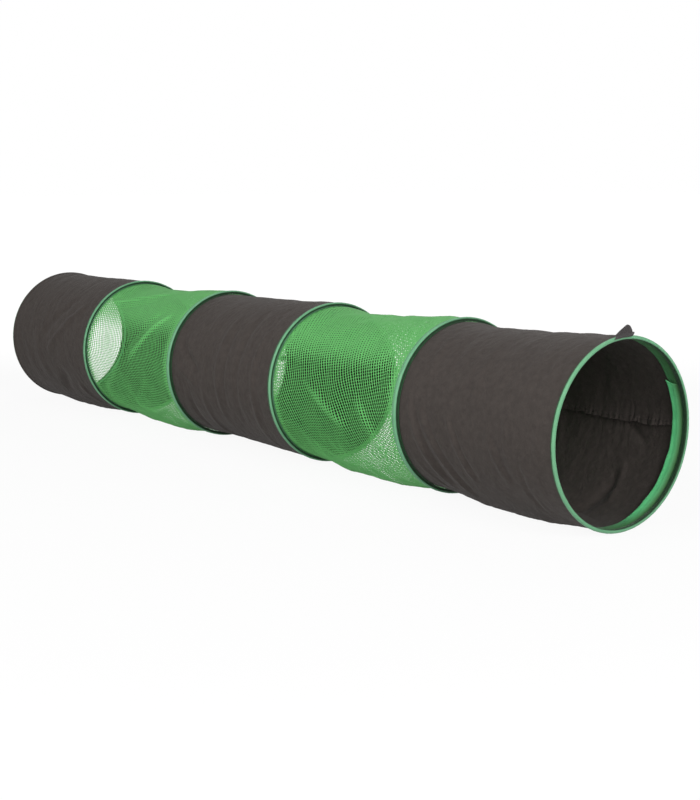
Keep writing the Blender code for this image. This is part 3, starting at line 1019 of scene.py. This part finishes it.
def make_loop():
    """Ribbed black ribbon, folded over the front roll and leaning towards the +Y side."""
    lean = math.radians(60)
    place = math.radians(95)
    half_width = 9.0 * MM
    thick = 0.8 * MM
    ribs = 9
    columns = 19
    radial = np.array([0.0, math.cos(place), math.sin(place)])
    tangent = np.array([0.0, math.sin(place), -math.cos(place)])
    rise = radial * math.cos(lean) + tangent * math.sin(lean)
    across = tangent * math.cos(lean) - radial * math.sin(lean)
    side = np.linspace(-1, 1, columns)

    def height(value):
        """Distance along the ribbon, at each column, of a height above the wire's line."""
        return (value * MM + side * half_width * math.sin(lean)) / math.cos(lean)

    top = (25.5 - 3.5 * np.abs(side) ** 3) * MM
    high = top * 0.92 + height(6.2) * 0.08
    halfway = top * 0.55 + height(6.2) * 0.45
    # The ribbon's middle line, foot to tail: place along the tunnel in millimetres, and distance
    # along the ribbon in metres
    path = [
        (4.3, height(1.0)), (4.5, height(1.6)), (4.45, height(2.3)), (4.2, height(3.1)),
        (3.2, height(4.3)), (1.9, height(5.1)), (1.0, height(6.0)), (0.85, halfway),
        (1.0, high), (0.6, top), (0.0, top + 0.3 * MM), (-0.6, top), (-1.0, high),
        (-0.85, halfway), (-1.0, height(6.2)), (-2.0, height(5.4)), (-3.6, height(5.1)),
        (-5.0, height(4.95)), (-6.1, height(4.9)),
    ]
    corners = [np.stack([np.full(columns, axial * MM), far], axis=-1) for axial, far in path]
    line = []
    for first, second in zip(corners, corners[1:]):
        for share in (0.0, 0.34, 0.67):
            line.append(first + (second - first) * share)
    line.append(corners[-1])
    line = np.stack(line)
    along = np.gradient(line, axis=0)
    along /= np.maximum(np.linalg.norm(along, axis=-1, keepdims=True), 1e-9)
    out = np.stack([along[..., 1], -along[..., 0]], axis=-1)
    relief = 0.10 * MM * np.cos(side * math.pi * ribs)[None, :, None]
    foot = radial * WIRE_LINE + np.array([HOOP_X[0], 0.0, AXIS_Z])
    sheets = []
    for sign in (1, -1):
        flat = line + out * sign * (thick / 2 + relief)
        # The loop leans forward a little above the roll
        forward = flat[..., 0:1] + 0.16 * np.maximum(flat[..., 1:2] - 7.0 * MM, 0.0)
        points = foot + rise * flat[..., 1:2] + across * (side * half_width)[None, :, None]
        sheets.append(points + np.array([1.0, 0.0, 0.0]) * forward)
    piece = mesh_object("ribbon_loop", np.stack(sheets), slab_faces(len(line), columns), BLACK_RIBBON)
    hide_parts("carry_loop")
    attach(piece, "hoop_1")


def finish_steel():
    """Give the wires and their sleeves their metals; they stay as they are in the model."""
    for kind, finish in (("hoop_wire", SPRING_STEEL), ("wire_ferrule", CRIMPED_ZINC)):
        for hoop in range(HOOPS):
            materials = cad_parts[f"{kind}_{hoop + 1}"].data.materials
            materials.clear()
            materials.append(finish)


# Studio


def seen_rays(tree):
    """1 for what the camera sees, also in reflections and through glass, and 0 for other light."""
    path = add(tree, "ShaderNodeLightPath")
    seen = maths(tree, "MAXIMUM", path.outputs["Is Camera Ray"], path.outputs["Is Glossy Ray"])
    return maths(tree, "MAXIMUM", seen, path.outputs["Is Transmission Ray"])


def make_floor():
    """A pale floor that is seen as white; near the part a tenth of its own look shows, for the shadow."""
    size = 30.0
    mesh = bpy.data.meshes.new("floor")
    corners = [(-size, -size, 0), (size, -size, 0), (size, size, 0), (-size, size, 0)]
    mesh.from_pydata(corners, [], [(0, 1, 2, 3)])
    floor = bpy.data.objects.new("floor", mesh)
    floor.location.z = -0.4 * MM
    bpy.context.collection.objects.link(floor)
    finish, tree, shader = new_finish("floor")
    grey = (0.62, 0.62, 0.62, 1.0)
    set_values(shader, {"Base Color": grey, "Roughness": 0.9, "Specular IOR Level": 0.1})
    white = add(tree, "ShaderNodeEmission", Strength=1.03)
    place = add(tree, "ShaderNodeTexCoord").outputs["Object"]
    from_middle = add(tree, "ShaderNodeVectorMath", operation="LENGTH")
    tree.links.new(place, from_middle.inputs[0])
    share = map_range(tree, from_middle.outputs["Value"], 1.3, 2.2, 0.90, 1.0)
    mix_shaders(tree, maths(tree, "MULTIPLY", seen_rays(tree), share), shader, white, "Material Output")
    mesh.materials.append(finish)


def make_world():
    """Even white surroundings, plain white where the camera looks past the floor."""
    world = bpy.data.worlds.new("studio")
    bpy.context.scene.world = world
    world.use_nodes = True
    tree = world.node_tree
    soft = tree.nodes["Background"]
    set_values(soft, {"Color": (1.0, 1.0, 1.0, 1.0), "Strength": 0.18})
    bright = add(tree, "ShaderNodeBackground", Color=(1.0, 1.0, 1.0, 1.0), Strength=1.0)
    mix_shaders(tree, seen_rays(tree), soft, bright, "World Output")


def add_lamp(name, place, size, power):
    """A soft square lamp."""
    data = bpy.data.lights.new(name, "AREA")
    data.shape = "SQUARE"
    data.size = size
    data.energy = power
    lamp = bpy.data.objects.new(name, data)
    lamp.location = place
    lamp.rotation_mode = "QUATERNION"
    way = Vector(LAMP_TARGET) - Vector(place)
    lamp.rotation_quaternion = way.to_track_quat("-Z", "Y")
    bpy.context.collection.objects.link(lamp)


def make_camera():
    """The photograph's view: a 66 mm lens, 2.2 m from the front mouth."""
    data = bpy.data.cameras.new("camera")
    data.lens = FOCAL_PIXELS * SENSOR_MM / FRAME_PIXELS
    data.sensor_width = SENSOR_MM
    data.clip_end = 100
    camera = bpy.data.objects.new("camera", data)
    camera.location = CAMERA_PLACE
    yaw = math.radians(CAMERA_YAW)
    pitch = math.radians(CAMERA_PITCH)
    way = Vector((math.cos(yaw) * math.cos(pitch), math.sin(yaw) * math.cos(pitch), math.sin(pitch)))
    camera.rotation_mode = "QUATERNION"
    camera.rotation_quaternion = way.to_track_quat("-Z", "Y")
    bpy.context.collection.objects.link(camera)
    bpy.context.scene.camera = camera


make_camera()
finish_steel()
for hoop in range(HOOPS):
    dress_hoop(hoop)
for index in range(len(SECTIONS)):
    hang_section(index)
make_loop()
make_floor()
make_world()
add_lamp("side", (0.3, -3.2, 1.8), 2.0, 74)
add_lamp("front", (3.6, -0.6, 1.7), 1.6, 74)
add_lamp("low", (3.0, -2.4, 1.1), 1.4, 20)
add_lamp("back", (-0.8, 2.8, 2.4), 2.2, 20)
bpy.context.scene.view_settings.view_transform = "Standard"
